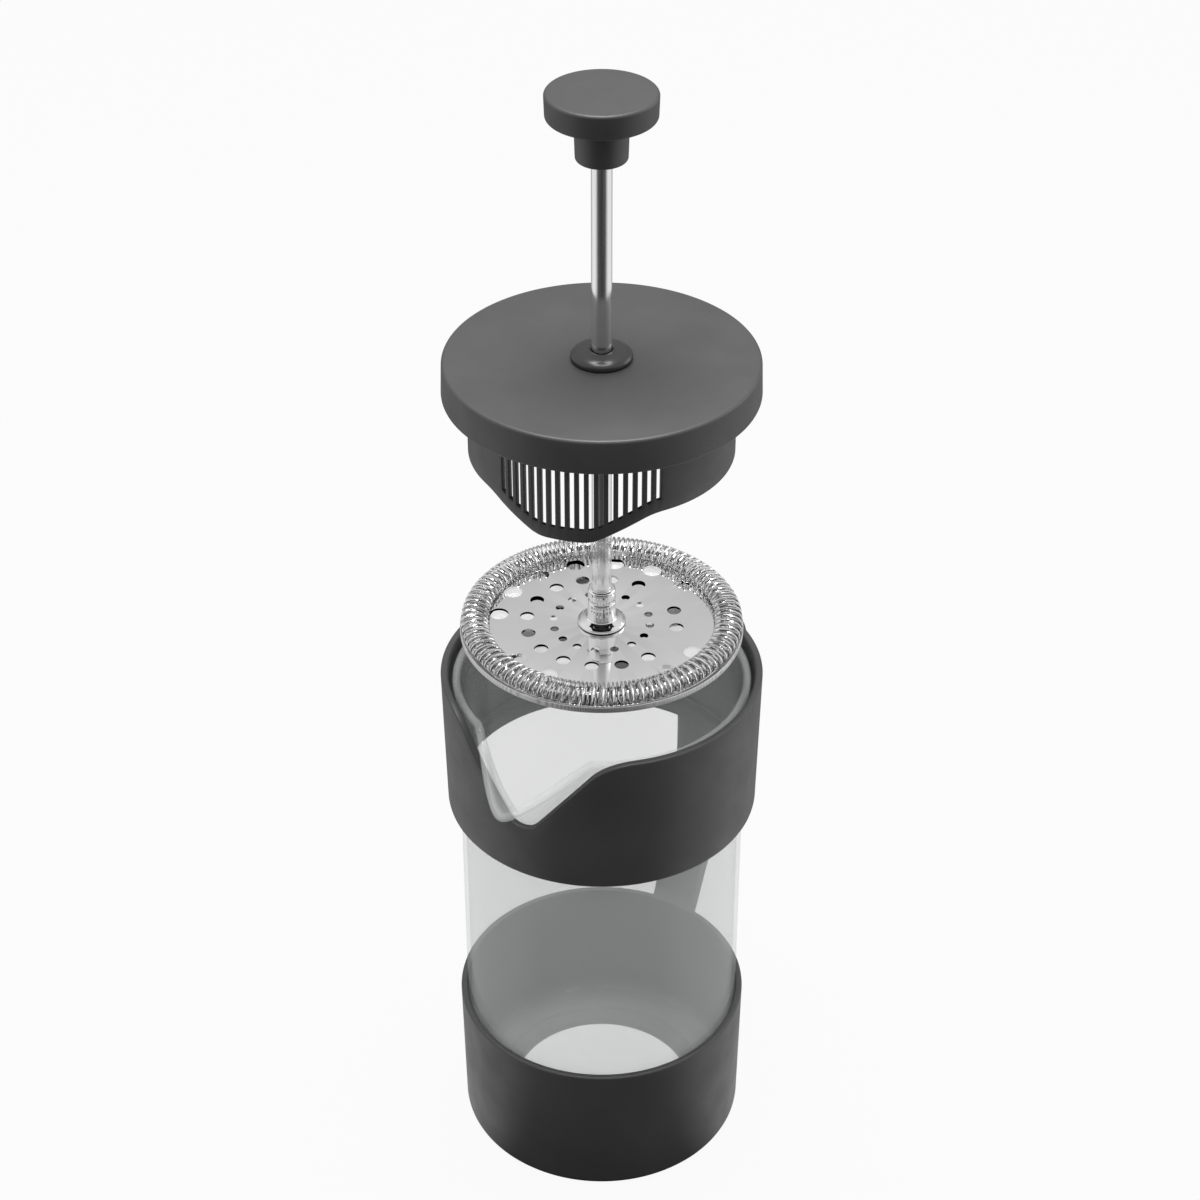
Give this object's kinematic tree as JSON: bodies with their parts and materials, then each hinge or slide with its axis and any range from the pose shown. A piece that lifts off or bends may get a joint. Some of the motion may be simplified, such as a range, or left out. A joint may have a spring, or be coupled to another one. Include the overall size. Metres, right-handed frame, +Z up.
{
  "type": "french press",
  "caption": "Press-type coffee maker: a glass beaker in a plastic collar and base with a handle, its strainer lid and plunger with a spring-edged filter lifted above it.",
  "frame": {"origin": "on the beaker's axis, on the surface that the foot ring stands on", "axes": "+Z up along the beaker's axis; the handle points along +X and the spout along -X"},
  "size_m": [0.1483, 0.106, 0.3983],
  "materials": {
    "clear_glass": "clear, fire polished",
    "dark_plastic": "fine matt",
    "bushing_plastic": "smooth",
    "silicone": "soft matt",
    "polished_steel": "polished",
    "spring_steel": "bright drawn wire",
    "woven_steel": "fine woven wire",
    "screw_steel": "plain",
    "insert_brass": "turned"
  },
  "bodies": {
    "carafe": {"glass_beaker": "clear_glass", "collar": "dark_plastic", "collar_seal": "silicone", "base_cup": "dark_plastic", "base_cushion": "silicone", "foot_ring": "silicone", "handle_grip": "dark_plastic", "handle_liner": "dark_plastic", "handle_screws": "screw_steel"},
    "guide": {"rod_bushing": "bushing_plastic", "bushing_nut": "polished_steel"},
    "lid": {"lid_cap": "dark_plastic", "lid_strainer": "dark_plastic"},
    "plunger": {"knob": "dark_plastic", "knob_insert": "insert_brass", "plunger_rod": "polished_steel", "rod_ferrule": "polished_steel"},
    "filter_stack": {"filter_plate": "polished_steel", "filter_coil": "spring_steel", "mesh_screen": "woven_steel"},
    "cross": {"cross_plate": "polished_steel", "cross_hub": "polished_steel"}
  },
  "joints": [
    {"name": "lid_lift", "type": "slide", "parent": "carafe", "child": "guide", "axis": [0, 0, 1], "range_m": [-0.107, 0]},
    {"name": "lid_turn", "type": "hinge", "parent": "guide", "child": "lid", "pos_m": [0, 0, 0.3035], "axis": [0, 0, 1], "continuous": true},
    {"name": "plunger_slide", "type": "slide", "parent": "guide", "child": "plunger", "axis": [0, 0, 1], "range_m": [-0.0625, 0.053]},
    {"name": "filter_drop", "type": "slide", "parent": "plunger", "child": "filter_stack", "axis": [0, 0, -1], "range_m": [0, 0.00641]},
    {"name": "cross_turn", "type": "hinge", "parent": "filter_stack", "child": "cross", "pos_m": [0, 0, 0.203], "axis": [0, 0, -1], "range_deg": [0, 2880]}
  ],
  "couplings": [
    {"joint": "filter_drop", "follows": "cross_turn", "m_per_rad": 0.00012732}
  ]
}
